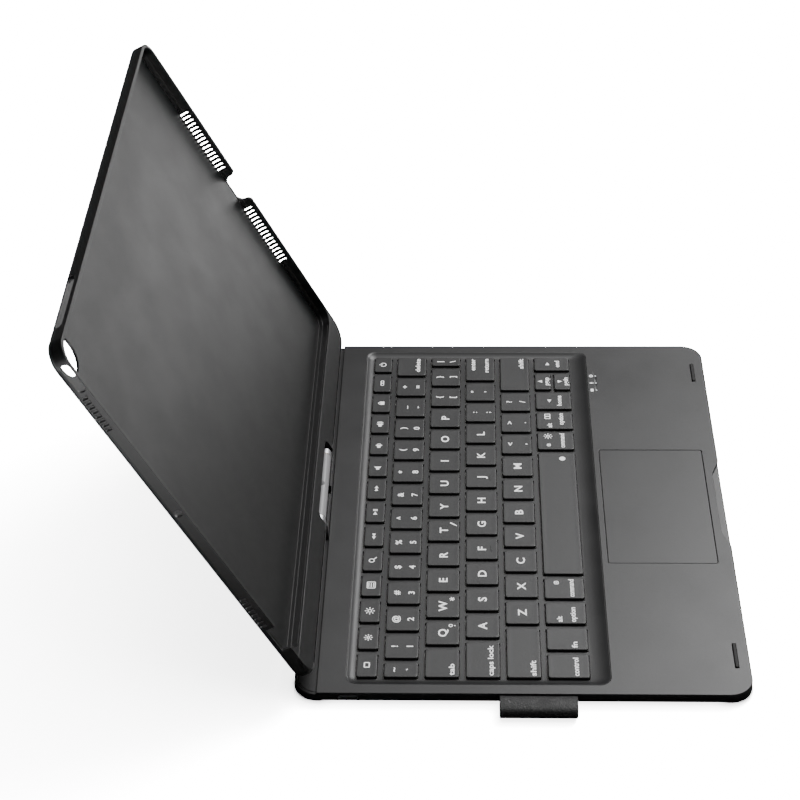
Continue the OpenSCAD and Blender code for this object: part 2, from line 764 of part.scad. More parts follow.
module shell_tray() {
    u_wall = shell_w / 2 - shell_wall - 1;
    color([0.12, 0.12, 0.125]) opened() difference() {
        shell_body();
        pocket_cut(ledge_in, w_floor, ledge_w);
        pocket_cut(0, ledge_w - e, half_t - lip_h);
        pocket_cut(lip_in, half_t - lip_h - e, half_t + 1);
        cover_zone();
        hinge_notch();
        // chin cavity
        difference() {
            translate([-shell_w / 2 + 8, -1, w_floor])
                cube([shell_w - 16, chin_h - chin_wall + 1, shell_t]);
            hinge_zone_wall();
        }
        along_v(0, housing_v0 + 0.1, post_r + 0.4);
        // speaker slots and the connector notch in the right wall
        for (v0 = [v_mid + 13.1, v_mid - 13.1 - 15 * slot_pitch_r])
            slot_row(1, v0, 16, slot_pitch_r, -1, 4.4);
        translate([u_wall, v_mid, 0]) rotate([90, 0, 90]) linear_extrude(shell_wall + 2) {
            translate([0, 1]) slot2d(14.8, 2 * (half_t - 0.3));
            translate([-7.4, 0.6]) square([14.8, shell_t]);
            polygon([[-7.4, half_t - 1.6], [-9, half_t + 0.1], [9, half_t + 0.1], [7.4, half_t - 1.6]]);
        }
        // power button, slots, microphone and corner relief in the left wall
        wall_slot(-1, v_top - 13.8, 13.8, 1.2, 3.8);
        slot_row(-1, v_mid + 58.9 - 3.5 * slot_pitch_l, 8, slot_pitch_l, -0.3, 3);
        slot_row(-1, v_mid - 58.9 - 3.5 * slot_pitch_l, 8, slot_pitch_l, -0.5, 3.2);
        wall_slot(-1, v_mid + 1.8, 3.2, 0.8, 4);
        translate([-shell_w / 2 - 1, chin_h + 6.5, ledge_w]) cube([shell_wall + 1.5, 13.3, shell_t]);
        // volume buttons in the top wall, with a shallow thumb relief outside
        translate([volume_u, v_top - shell_wall - 1, -0.3]) rotate([-90, 0, 0])
            linear_extrude(shell_wall + 2) slot2d(volume_l, 3.4);
        translate([volume_u, v_top - 0.5, -1.3]) rotate([-90, 0, 0])
            linear_extrude(2) slot2d(volume_l + 3, 5.8);
        translate([camera_u, camera_v, -half_t - 1]) cylinder(h = back_t + 2, r = camera_r);
    }
}

// Solid wall that stays around the notch inside the chin
module hinge_zone_wall() {
    translate([-notch_half - 3 - chin_wall, -shell_t, -shell_t])
        cube([2 * (notch_half + 3 + chin_wall), shell_t + housing_v0, 2 * shell_t]);
}

module chin_cover() {
    color([0.12, 0.12, 0.125]) opened() difference() {
        intersection() {
            shell_body();
            cover_zone();
        }
        hinge_notch();
    }
}

housing_w = 24;
module swivel_housing() {
    color([0.66, 0.62, 0.45]) opened() difference() {
        translate([-housing_w / 2, housing_v0, w_floor]) cube([housing_w, 2, w_cover - w_floor]);
        along_v(housing_v0 - 1, housing_v1 + 1, post_r + run_clear);
        for (s = [-1, 1])
            translate([s * (housing_w / 2 - 3), housing_v0 + 1, 0])
                cylinder(h = shell_t, r = 0.6, center = true);
    }
}

module housing_screws() {
    color([0.5, 0.5, 0.52]) opened() for (s = [-1, 1])
        translate([s * (housing_w / 2 - 3), housing_v0 + 1, w_floor + 0.05])
            cylinder(h = w_cover - w_floor - 0.1, r = 0.55);
}

module chin_magnets() {
    color([0.6, 0.6, 0.62]) opened() for (s = [-1, 1])
        translate([s * 80 - 10, 3, w_floor]) cube([20, 5, 2]);
}

// ---------- nodes ----------

lower_casing();
deck_casing();
key_frame();
support_plate();
light_guide();
membrane_circuit();
dome_sheet();
main_board();
battery_cells();
click_switch();
trackpad();
trackpad_board();
corner_bumpers();
rubber_feet();
status_lenses();
charge_port();
pen_loop();
casing_screws();
hinge_bracket();
bracket_screws();
hinge_cradle();
tilt_shaft();
friction_washers();
hinge_barrel();
swivel_post();
post_clip();
shell_tray();
chin_cover();
swivel_housing();
housing_screws();
chin_magnets();
keys_function();
key_power();
keys_number();
key_delete();
key_tab();
keys_upper();
key_caps_lock();
keys_home();
key_enter();
key_shift_left();
keys_lower();
key_shift_right();
key_control();
key_fn();
key_option_left();
key_command_left();
key_space();
key_command_right();
key_option_right();
key_arrow_left();
key_arrow_up();
key_arrow_down();
key_arrow_right();
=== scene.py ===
# %% [markdown]
# # A tablet keyboard case
# The case has two halves: a thin keyboard base, and a shallow shell that holds a tablet, joined by a
# light grey barrel. This script dresses a packed mechanical model. The model is loaded as a fixed
# frame, so nothing here moves a mechanical part: pieces are either kept and given a finish, or
# replaced by a finer surface that sits in the same place and rides on the same body.

# %% Load the frame
import json
import math

import bmesh
import bpy
import numpy as np
from mathutils import Matrix, Vector


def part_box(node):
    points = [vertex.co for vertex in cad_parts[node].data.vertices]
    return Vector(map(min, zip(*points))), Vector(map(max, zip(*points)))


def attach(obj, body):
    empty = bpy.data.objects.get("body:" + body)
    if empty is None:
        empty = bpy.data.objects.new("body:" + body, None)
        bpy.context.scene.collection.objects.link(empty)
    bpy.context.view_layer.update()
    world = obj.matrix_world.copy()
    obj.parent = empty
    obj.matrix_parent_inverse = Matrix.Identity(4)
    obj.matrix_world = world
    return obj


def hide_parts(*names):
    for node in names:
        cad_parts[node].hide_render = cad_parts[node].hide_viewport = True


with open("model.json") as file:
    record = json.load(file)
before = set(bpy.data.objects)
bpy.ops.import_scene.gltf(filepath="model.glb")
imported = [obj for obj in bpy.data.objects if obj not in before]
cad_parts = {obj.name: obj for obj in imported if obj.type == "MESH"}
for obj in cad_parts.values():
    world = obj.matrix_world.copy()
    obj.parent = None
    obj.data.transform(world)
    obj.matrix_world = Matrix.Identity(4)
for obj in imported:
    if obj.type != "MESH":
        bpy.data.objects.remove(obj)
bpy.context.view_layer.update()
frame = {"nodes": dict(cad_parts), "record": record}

MM = 0.001

# %% [markdown]
# ## Camera
# A long lens from the left side of the case, looking down over the keys, keeps the deck's edges
# almost parallel. The camera's three axes are worked out from its heading, its dip and a slight roll,
# and set as a matrix, because that states all three at once.

# %% Place the camera
CAMERA_AT = Vector((-0.7143, 0.0253, 0.6204))
HEADING = math.radians(2.37)
DIP = math.radians(-37.70)
ROLL = math.radians(-1.41)
LENS = 88.4

ahead = Vector((math.cos(DIP) * math.cos(HEADING), math.cos(DIP) * math.sin(HEADING), math.sin(DIP)))
level = ahead.cross(Vector((0, 0, 1))).normalized()
upward = level.cross(ahead)
across = level * math.cos(ROLL) + upward * math.sin(ROLL)
over = upward * math.cos(ROLL) - level * math.sin(ROLL)
camera_data = bpy.data.cameras.new("camera")
camera_data.lens = LENS
camera = bpy.data.objects.new("camera", camera_data)
turn = Matrix((across, over, -ahead)).transposed()
camera.matrix_world = Matrix.Translation(CAMERA_AT) @ turn.to_4x4()
bpy.context.scene.collection.objects.link(camera)
bpy.context.scene.camera = camera
print("camera at", CAMERA_AT[:], "with a", LENS, "mm lens")

# %% [markdown]
# ## Finishes
# Every finish is a small node tree. A pattern reads Object coordinates, which are metres here, so a
# noise scale of 2000 gives specks half a millimetre across. Values that are the same all over a
# surface sit on the shader's own socket, and only what varies is wired to it.

# %% A helper that starts a finish
def new_finish(name, roughness, metallic=0.0):
    """A material with a Principled shader; returns (material, nodes, links, shader, coordinates)."""
    material = bpy.data.materials.new(name)
    material.use_nodes = True
    tree = material.node_tree
    shader = tree.nodes["Principled BSDF"]
    shader.inputs["Roughness"].default_value = roughness
    shader.inputs["Metallic"].default_value = metallic
    where = tree.nodes.new("ShaderNodeTexCoord").outputs["Object"]
    return material, tree.nodes, tree.links, shader, where


def noise(nodes, links, where, scale, detail=2.0, stretch=(1, 1, 1)):
    """A noise pattern on the coordinates, stretched along the axes; returns its value output."""
    place = nodes.new("ShaderNodeMapping")
    place.inputs["Scale"].default_value = stretch
    links.new(where, place.inputs["Vector"])
    pattern = nodes.new("ShaderNodeTexNoise")
    pattern.inputs["Scale"].default_value = scale
    pattern.inputs["Detail"].default_value = detail
    links.new(place.outputs["Vector"], pattern.inputs["Vector"])
    return pattern.outputs["Fac"]


def ramp(nodes, links, value, low, high, start=0.3, end=0.7):
    """Colours the value from low to high between start and end."""
    colours = nodes.new("ShaderNodeValToRGB")
    colours.color_ramp.elements[0].position = start
    colours.color_ramp.elements[1].position = end
    colours.color_ramp.elements[0].color = (*low, 1)
    colours.color_ramp.elements[1].color = (*high, 1)
    links.new(value, colours.inputs["Fac"])
    return colours.outputs["Color"]


def spread(nodes, links, value, low, high):
    """Maps the value from 0.3..0.7 to low..high."""
    reach = nodes.new("ShaderNodeMapRange")
    reach.inputs["From Min"].default_value = 0.3
    reach.inputs["From Max"].default_value = 0.7
    reach.inputs["To Min"].default_value = low
    reach.inputs["To Max"].default_value = high
    links.new(value, reach.inputs["Value"])
    return reach.outputs["Result"]


def emboss(nodes, links, shader, value, height, strength=1.0):
    """Raises the surface by the value times height, in metres."""
    bump = nodes.new("ShaderNodeBump")
    bump.inputs["Distance"].default_value = height
    bump.inputs["Strength"].default_value = strength
    links.new(value, bump.inputs["Height"])
    links.new(bump.outputs["Normal"], shader.inputs["Normal"])


# %% Plastics
def moulded(name, dark, light, roughness, speck=2400, speck_height=0.012 * MM, specular=0.5):
    """Moulded or sprayed plastic: fine specks raise it, and a slow cloud varies colour and gloss."""
    material, nodes, links, shader, where = new_finish(name, roughness)
    shader.inputs["Specular IOR Level"].default_value = specular
    specks = noise(nodes, links, where, speck, 3.0)
    cloud = noise(nodes, links, where, 45, 2.0)
    mixed = nodes.new("ShaderNodeMath")
    mixed.operation = "MULTIPLY_ADD"
    mixed.inputs[1].default_value = 0.35
    links.new(cloud, mixed.inputs[0])
    links.new(specks, mixed.inputs[2])
    colour = ramp(nodes, links, mixed.outputs["Value"], dark, light, 0.45, 0.85)
    links.new(colour, shader.inputs["Base Color"])
    links.new(spread(nodes, links, cloud, roughness - 0.03, roughness + 0.03), shader.inputs["Roughness"])
    emboss(nodes, links, shader, specks, speck_height)
    return material


DECK = moulded("deck_spray", (0.010, 0.010, 0.0105), (0.017, 0.017, 0.0175), 0.40)
SHELL = moulded("shell_spray", (0.0022, 0.0022, 0.0023), (0.004, 0.004, 0.0042), 0.40)
CASING = moulded("casing_spray", (0.004, 0.004, 0.0042), (0.007, 0.007, 0.0072), 0.42)
KEYS = moulded("key_coat", (0.013, 0.013, 0.0135), (0.019, 0.019, 0.0195), 0.46, 3200, 0.006 * MM)
PAD = moulded("trackpad_coat", (0.013, 0.013, 0.0135), (0.017, 0.017, 0.0175), 0.38, 4000, 0.003 * MM)
RUBBER = moulded("soft_rubber", (0.006, 0.006, 0.006), (0.010, 0.010, 0.010), 0.65, 1800, 0.02 * MM, 0.3)
FRAME = moulded("recess_spray", (0.009, 0.009, 0.0095), (0.015, 0.015, 0.0155), 0.42)
print("plastics ready")

# %% Metals, leather, ink and the rest
def machined(name, colour, roughness, along=(1, 30, 30)):
    """Metal with fine lines along X, as from turning or brushing."""
    material, nodes, links, shader, where = new_finish(name, roughness, 1.0)
    lines = noise(nodes, links, where, 120, 4.0, along)
    darker = tuple(0.85 * c for c in colour)
    links.new(ramp(nodes, links, lines, darker, colour), shader.inputs["Base Color"])
    links.new(spread(nodes, links, lines, roughness - 0.05, roughness + 0.08), shader.inputs["Roughness"])
    emboss(nodes, links, shader, lines, 0.004 * MM)
    return material


def pebbled(name, dark, light):
    """Pressed leather: rounded cells with creases between them, the creases coloured darker as painted shade,
    and a slow change of gloss.
    """
    material, nodes, links, shader, where = new_finish(name, 0.48)
    shader.inputs["Specular IOR Level"].default_value = 0.4
    cells = nodes.new("ShaderNodeTexVoronoi")
    cells.feature = "DISTANCE_TO_EDGE"
    cells.inputs["Scale"].default_value = 1100
    links.new(where, cells.inputs["Vector"])
    crease = nodes.new("ShaderNodeMapRange")
    crease.inputs["From Max"].default_value = 0.35
    links.new(cells.outputs["Distance"], crease.inputs["Value"])
    # The creases are coloured darker than the cell tops: painted shade in the creases.
    colour = ramp(nodes, links, crease.outputs["Result"], dark, light, 0.0, 0.9)
    links.new(colour, shader.inputs["Base Color"])
    cloud = noise(nodes, links, where, 160)
    links.new(spread(nodes, links, cloud, 0.4, 0.58), shader.inputs["Roughness"])
    emboss(nodes, links, shader, crease.outputs["Result"], 0.12 * MM)
    return material


def printed(name, low, high, roughness=0.55, glow=0.0):
    """A coat of print or foil: nearly one colour, broken by a fine mottle. It may glow a little, which is
    painted light that brightens it.
    """
    material, nodes, links, shader, where = new_finish(name, roughness)
    mottle = noise(nodes, links, where, 3000)
    links.new(ramp(nodes, links, mottle, low, high), shader.inputs["Base Color"])
    links.new(spread(nodes, links, mottle, roughness - 0.05, roughness + 0.05), shader.inputs["Roughness"])
    # A glow is painted light: it brightens the coat beyond what the lamps give.
    if glow:
        shader.inputs["Emission Color"].default_value = (1, 1, 1, 1)
        shader.inputs["Emission Strength"].default_value = glow
    return material


STEEL = machined("plain_steel", (0.55, 0.55, 0.57), 0.35)
BRASS = machined("turned_brass", (0.72, 0.55, 0.28), 0.35)
BARREL = moulded("barrel_coat", (0.19, 0.19, 0.195), (0.23, 0.23, 0.235), 0.36, 5000, 0.002 * MM)
LEATHER = pebbled("loop_leather", (0.006, 0.006, 0.006), (0.020, 0.020, 0.0205))
# The white print glows a little: painted light that makes it brighter than the lamps alone would.
INK = printed("legend_ink", (0.88, 0.88, 0.88), (0.95, 0.95, 0.95), 0.45, glow=0.3)
LENS_GLOW = printed("lens_plastic", (0.62, 0.64, 0.66), (0.75, 0.77, 0.78), 0.25)
BOARD = printed("circuit_board", (0.02, 0.09, 0.05), (0.03, 0.12, 0.07))
SILICONE = printed("dome_silicone", (0.55, 0.55, 0.53), (0.65, 0.65, 0.62))
FOIL = machined("cell_foil", (0.6, 0.6, 0.62), 0.3)
print("other finishes ready")

# %% [markdown]
# ## Softened copies of the mechanical parts
# The mechanical solids have knife edges, and a real moulding never does: its edges catch a thin line
# of light. Each visible solid is copied, the corners that its loose triangles share are merged, and a
# Bevel modifier rounds what is sharp. The bevel marks the flat faces as strong, so that they and not
# the narrow rounding set the shading where the two meet. The rounding doesn't slide along
# neighbouring edges, which drew creases on the deck. Its width is not clamped either. On the lower
# casing that is a fault: at some thin triangles it leaves spikes that reach about 3 mm past the casing.

# %% Round the edges of a copy
def body_of_node(node):
    """The name of the body that holds a node."""
    bodies = frame["record"]["behaviour"]["bodies"]
    return next(name for name, nodes in bodies.items() if node in nodes)


def softened(node, material, width, segments=2, sharp=32):
    """A copy of a node whose edges sharper than that angle are rounded by width. With no width the
    edges stay sharp and only the slopes are smoothed, which suits a grille full of holes."""
    source = frame["nodes"][node]
    mesh = source.data.copy()
    mesh.name = node + "_soft"
    shape = bmesh.new()
    shape.from_mesh(mesh)
    bmesh.ops.remove_doubles(shape, verts=shape.verts, dist=0.002 * MM)
    for face in shape.faces:
        face.smooth = True
    shape.to_mesh(mesh)
    shape.free()
    mesh.materials.clear()
    mesh.materials.append(material)
    piece = bpy.data.objects.new(node + "_soft", mesh)
    bpy.context.scene.collection.objects.link(piece)
    if width:
        edge = piece.modifiers.new("edges", "BEVEL")
        edge.width = width
        edge.segments = segments
        edge.limit_method = "ANGLE"
        edge.angle_limit = math.radians(sharp)
        edge.use_clamp_overlap = False
        edge.loop_slide = False
        edge.face_strength_mode = "FSTR_ALL"
    else:
        mesh.set_sharp_from_angle(angle=math.radians(sharp))
    shade_evenly(piece).use_face_influence = bool(width)
    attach(piece, body_of_node(node))
    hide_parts(node)
    return piece


def shade_evenly(piece):
    """Lets large flat faces set the shading at their corners, so that they look flat."""
    even = piece.modifiers.new("even_shading", "WEIGHTED_NORMAL")
    even.weight = 100
    even.keep_sharp = True
    return even


for node, material, width in (
    ("deck_casing", DECK, 0.22 * MM),
    ("lower_casing", CASING, 0.2 * MM),
    ("key_frame", FRAME, 0),
    ("shell_tray", SHELL, 0.16 * MM),
    ("chin_cover", SHELL, 0.2 * MM),
    ("hinge_cradle", SHELL, 0.3 * MM),
    ("hinge_barrel", BARREL, 0.25 * MM),
):
    piece = softened(node, material, width)
    print(node, "softened:", len(piece.data.polygons), "faces before the bevel")

# %% Finishes for the parts that stay as they are
PLAIN = {
    "rubber_feet": RUBBER, "status_lenses": LENS_GLOW, "charge_port": STEEL,
    "casing_screws": STEEL, "bracket_screws": STEEL, "housing_screws": STEEL, "hinge_bracket": STEEL,
    "tilt_shaft": STEEL, "friction_washers": BRASS, "swivel_post": STEEL, "post_clip": STEEL,
    "swivel_housing": BRASS, "chin_magnets": STEEL, "support_plate": STEEL, "light_guide": LENS_GLOW,
    "membrane_circuit": BOARD, "dome_sheet": SILICONE, "main_board": BOARD, "trackpad_board": BOARD,
    "battery_cells": FOIL, "click_switch": STEEL,
}
for node, material in PLAIN.items():
    mesh = frame["nodes"][node].data
    mesh.materials.clear()
    mesh.materials.append(material)
print(len(PLAIN), "parts kept with a new finish")

# %% [markdown]
# ## Keycaps
# A keycap is one closed surface: a rounded rectangle drawn again and again, each time a little
# further in and at its own height, from the skirt up over a rounded edge to a top that dips slightly.
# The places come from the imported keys: the triangles of a node's top plane are sorted by their left
# ends, and a new key starts wherever one begins right of everything before it.

# %% Find the keys in a node
def key_places(node):
    """Rows of (left, right, front, rear, low, top) for each key in a node, in metres."""
    mesh = frame["nodes"][node].data
    points = np.empty(len(mesh.vertices) * 3)
    mesh.vertices.foreach_get("co", points)
    points = points.reshape(-1, 3)
    mesh.calc_loop_triangles()
    corners = np.empty(len(mesh.loop_triangles) * 3, int)
    mesh.loop_triangles.foreach_get("vertices", corners)
    triangles = points[corners.reshape(-1, 3)]
    top = points[:, 2].max()
    flat = triangles[(triangles[:, :, 2] > top - 1e-6).all(axis=1)]
    left, right = flat[:, :, 0].min(axis=1), flat[:, :, 0].max(axis=1)
    order = np.argsort(left)
    left, right = left[order], np.maximum.accumulate(right[order])
    starts = np.r_[True, left[1:] > right[:-1] + 1e-5]
    ends = np.r_[starts[1:], True]
    lefts, rights = left[starts], right[ends]
    low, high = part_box(node)
    whole = np.tile([low.y, high.y, low.z, high.z], (len(lefts), 1))
    return np.column_stack((lefts, rights, whole))


key_nodes = [n for n in frame["nodes"] if n.startswith("keys_") or n.startswith("key_") and n != "key_frame"]
places = {n: key_places(n) for n in key_nodes}
print(sum(len(p) for p in places.values()), "keys in", len(key_nodes), "nodes")

# %% Build closed slabs with rounded edges
LEAST_RADIUS = 0.05 * MM


def rounded_outline(x0, x1, y0, y1, radius, steps=6):
    """Points round a rectangle whose corners are quarter circles: corner centre plus radius times
    (cosine, sine) of an angle that runs on a quarter turn at each corner."""
    quarter = np.linspace(0, math.pi / 2, steps + 1)
    centres = np.array([[x1 - radius, y1 - radius], [x0 + radius, y1 - radius],
                        [x0 + radius, y0 + radius], [x1 - radius, y0 + radius]])
    angles = quarter[None, :] + np.arange(4)[:, None] * math.pi / 2
    ring = np.stack((np.cos(angles), np.sin(angles)), axis=2) * radius
    return (centres[:, None, :] + ring).reshape(-1, 2)


def slab(x0, x1, y0, y1, radius, profile):
    """A closed solid: for each (inset, height) in profile the outline is drawn again, inset and
    lifted, and its corner radius shrinks by the inset. Returns (points, faces)."""
    rings = []
    for i, z in profile:
        outline = rounded_outline(x0 + i, x1 - i, y0 + i, y1 - i, max(radius - i, LEAST_RADIUS))
        rings.append(np.column_stack((outline, np.full(len(outline), z))))
    points = np.vstack(rings)
    count = len(rings[0])
    row = np.arange(len(rings) - 1)[:, None] * count
    here = np.arange(count)[None, :]
    beside = (here + 1) % count
    quads = np.stack((row + here, row + beside, row + count + beside, row + count + here), axis=2)
    faces = quads.reshape(-1, 4).tolist()
    faces.append(list(range(count))[::-1])
    faces.append(list(range(len(points) - count, len(points))))
    return points, faces


def join(parts):
    """Several (points, faces) as one."""
    points, faces, base = [], [], 0
    for some, its in parts:
        points.append(some)
        faces += [[base + i for i in face] for face in its]
        base += len(some)
    return np.vstack(points), faces


def make_piece(name, shape, material, node, smooth=True, replace=True):
    """Puts (points, faces) into a mesh that rides with a node's body and may replace the node."""
    points, faces = shape
    mesh = bpy.data.meshes.new(name)
    mesh.from_pydata(points, [], faces)
    mesh.polygons.foreach_set("use_smooth", np.full(len(mesh.polygons), smooth))
    mesh.materials.append(material)
    piece = bpy.data.objects.new(name, mesh)
    bpy.context.scene.collection.objects.link(piece)
    if smooth:
        shade_evenly(piece)
    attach(piece, body_of_node(node))
    if replace:
        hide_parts(node)
    return piece


# %% Make the caps
CAP_RADIUS = 1.2 * MM
EDGE = 0.42 * MM
DISH = 0.05 * MM
edge_steps = np.linspace(0, math.pi / 2, 5)


def cap_profile(low, top):
    """Skirt, then a quarter round of radius EDGE, then a top that dips towards the middle."""
    inset = EDGE * (1 - np.cos(edge_steps))
    height = top - EDGE + EDGE * np.sin(edge_steps)
    flare = 0.06 * MM
    skirt = [(0.0, low), (flare, (low + top) / 2)]
    edge = list(zip(inset + flare, height))
    dish = [(1.6 * MM, top - 0.02 * MM), (3.0 * MM, top - DISH)]
    return skirt + edge + dish


for node, rows in places.items():
    caps = [slab(x0, x1, y0, y1, CAP_RADIUS, cap_profile(low, top)) for x0, x1, y0, y1, low, top in rows]
    piece = make_piece(node + "_caps", join(caps), KEYS, node)
print("caps made")

# %% [markdown]
# ## Trackpad and bumpers
# Both are slabs with softened edges, so the slab that made the keycaps makes them too. The pad's edge
# is only a hair's breadth, which shows as a thin bright line against its gap. The bumpers are small
# rubber bars that keep the tablet off the keys when the case is shut.

# %% Trackpad
low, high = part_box("trackpad")
pad_edge = 0.12 * MM
pad_profile = [(0, low.z), (0, high.z - pad_edge), (0.3 * pad_edge, high.z - 0.3 * pad_edge),
               (pad_edge, high.z)]
pad = make_piece("trackpad_plate", slab(low.x, high.x, low.y, high.y, 1.0 * MM, pad_profile), PAD, "trackpad")

# %% Bumpers
low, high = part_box("corner_bumpers")
FLANGE_X, FLANGE_Y, BAR_LENGTH = 0.9 * MM, 0.7 * MM, 14.8 * MM
y0, y1 = low.y + FLANGE_Y, high.y - FLANGE_Y
bar_radius = 0.49 * (y1 - y0)
bar_round = 0.35 * MM
bar_profile = [(0, low.z)] + [(bar_round * (1 - math.cos(a)), high.z - bar_round * (1 - math.sin(a)))
                              for a in np.linspace(0, math.pi / 2, 4)]
bars = [slab(x0, x0 + BAR_LENGTH, y0, y1, bar_radius, bar_profile)
        for x0 in (low.x + FLANGE_X, high.x - FLANGE_X - BAR_LENGTH)]
bumpers = make_piece("bumper_bars", join(bars), RUBBER, "corner_bumpers")
print("trackpad and bumpers made")

# %% [markdown]
# ## Pen loop
# The loop is a strip of pressed leather wrapped round and tucked into the casing's seam. Its surface
# is a ring carried round a ring: one parameter goes round the loop's flattened oval, the other goes
# round the strip's own thin section, which has rounded edges.

# %% Loop surface
def ring_grid(points):
    """Quads for a grid of points that closes on itself in both directions."""
    rows, columns = points.shape[:2]
    index = np.arange(rows * columns).reshape(rows, columns)
    right, down = np.roll(index, -1, axis=1), np.roll(index, -1, axis=0)
    across_down = np.roll(down, -1, axis=1)
    return np.stack((index, right, across_down, down), axis=2).reshape(-1, 4)


def leather_loop(x_mid, z_mid, half_x, half_z, y0, y1, thick):
    """The oval is x = half_x * c**0.75, z = half_z * s**0.75 with c and s the cosine and sine, keeping
    their signs. The strip's section runs out along y at depth 0, round the end, and back at depth
    thick; each depth shrinks both half sizes of the oval."""
    turn = np.linspace(0, 2 * math.pi, 72, endpoint=False)
    quarter = np.linspace(0, math.pi, 7)
    nose = thick / 2
    depth_end = nose * (1 - np.cos(quarter))
    bulge = nose * np.sin(quarter)
    straight = np.linspace(y0 + nose, y1 - nose, 13)
    along = np.concatenate((straight, y1 - nose + bulge[1:-1], straight[::-1], y0 + nose - bulge[1:-1]))
    depth = np.concatenate((np.zeros(13), depth_end[1:-1], np.full(13, thick), depth_end[::-1][1:-1]))
    c, s = np.cos(turn), np.sin(turn)
    across = np.sign(c) * np.abs(c) ** 0.75
    up = np.sign(s) * np.abs(s) ** 0.75
    x = x_mid + across[:, None] * (half_x - depth[None, :])
    z = z_mid + up[:, None] * (half_z - depth[None, :])
    y = np.broadcast_to(along, x.shape)
    points = np.stack((x, y, z), axis=2)
    return points.reshape(-1, 3), ring_grid(points).tolist()


low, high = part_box("pen_loop")
STRIP = 0.8 * MM
case_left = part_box("lower_casing")[0].x
half_x = (case_left - low.x) / 2
half_z = (high.z - low.z) / 2
z_mid = (high.z + low.z) / 2
band = leather_loop(case_left - half_x, z_mid, half_x, half_z, low.y, high.y, STRIP)
tuck = slab(case_left - 0.6 * MM, high.x, low.y + 1.2 * MM, high.y - 1.2 * MM, 0.2 * MM,
            [(0, z_mid - 0.35 * MM), (0, z_mid + 0.35 * MM)])
loop = make_piece("leather_loop", join([band, tuck]), LEATHER, "pen_loop")
print("loop made:", len(loop.data.polygons), "faces")

# %% [markdown]
# ## Marks on the keys
# The marks are white print, whose ink glows a little as painted light. Each is a very thin plate
# whose top stands a hair over the cap, so it shows at any light. Letters come from Blender's own font: a
# text object is made, turned into a mesh, and then stretched so that its capitals have the height that
# is asked for. Signs are drawn from a few strokes: bars, arcs, rings and flat shapes.

# %% Strokes
INK_LOW, INK_HIGH = -0.14 * MM, 0.004 * MM


def plate(outline):
    """A closed flat plate from an anticlockwise outline, from INK_LOW to INK_HIGH."""
    outline = np.asarray(outline, float)
    count = len(outline)
    points = np.vstack((np.column_stack((outline, np.full(count, INK_LOW))),
                        np.column_stack((outline, np.full(count, INK_HIGH)))))
    here = np.arange(count)
    beside = (here + 1) % count
    faces = np.stack((here, beside, beside + count, here + count), axis=1).tolist()
    return points, faces + [list(range(count))[::-1], list(range(count, 2 * count))]


def bar(x, y, length, width, angle=0.0):
    """A straight stroke about (x, y), turned by an angle in degrees."""
    c, s = math.cos(math.radians(angle)), math.sin(math.radians(angle))
    corners = np.array([[-1, -1], [1, -1], [1, 1], [-1, 1]]) * np.array([length, width]) / 2
    return plate(corners @ np.array([[c, s], [-s, c]]) + (x, y))


def disc(x, y, radius, steps=20):
    """A filled circle."""
    turn = np.linspace(0, 2 * math.pi, steps, endpoint=False)
    return plate(np.column_stack((x + radius * np.cos(turn), y + radius * np.sin(turn))))


def arc(x, y, radius, width, start=0.0, end=360.0, steps=18):
    """A stroke along a circle between two angles in degrees; a full turn is left a hair open."""
    turn = np.radians(np.linspace(start, min(end, start + 359.6), steps))
    ring = np.column_stack((np.cos(turn), np.sin(turn)))
    outline = np.vstack((ring * (radius + width / 2), ring[::-1] * (radius - width / 2)))
    return plate(outline + (x, y))


def frame_mark(x, y, width, height, line, radius):
    """The outline of a rounded rectangle as a stroke, left a hair open at one corner."""
    outer = rounded_outline(x - width / 2, x + width / 2, y - height / 2, y + height / 2, radius)
    inner = rounded_outline(x - width / 2 + line, x + width / 2 - line,
                            y - height / 2 + line, y + height / 2 - line, max(radius - line, LEAST_RADIUS))
    seam = 0.002 * MM
    return plate(np.vstack((outer, outer[:1] + (0, -seam), inner[:1] + (0, -seam), inner[::-1])))


def arrow(x, y, size, angle):
    """A filled triangle that points along an angle in degrees."""
    turn = np.radians(angle + np.array([0, 130, 230]))
    return plate(np.column_stack((x + size * np.cos(turn), y + size * np.sin(turn))))


# %% Letters
BOLD = 0.02


def raw_text(text):
    """The built-in font's mesh for a text, in its own units, as (points in the plane, faces)."""
    data = bpy.data.curves.new("text", "FONT")
    data.body = text
    data.offset = BOLD
    data.resolution_u = 3
    shape = bpy.data.objects.new("text", data)
    bpy.context.scene.collection.objects.link(shape)
    mesh = bpy.data.meshes.new_from_object(shape.evaluated_get(bpy.context.evaluated_depsgraph_get()))
    points = np.empty(len(mesh.vertices) * 3)
    mesh.vertices.foreach_get("co", points)
    faces = [list(face.vertices) for face in mesh.polygons]
    bpy.data.objects.remove(shape)
    bpy.data.curves.remove(data)
    bpy.data.meshes.remove(mesh)
    return points.reshape(-1, 3)[:, :2], faces


def solid_from_sheet(sheet, faces):
    """Gives a flat sheet of faces a floor and walls: a wall stands on each edge that only one face has."""
    count = len(sheet)
    points = np.vstack((np.column_stack((sheet, np.full(count, INK_LOW))),
                        np.column_stack((sheet, np.full(count, INK_HIGH)))))
    edges = [(a, b) for face in faces for a, b in zip(face, face[1:] + face[:1])]
    single = set(edges) - {(b, a) for a, b in edges}
    walls = [[a, b, b + count, a + count] for a, b in sorted(single)]
    top = [[i + count for i in face] for face in faces]
    return points, [face[::-1] for face in faces] + top + walls


CAPITAL = np.ptp(raw_text("H")[0][:, 1])
WIDEN = 1.14


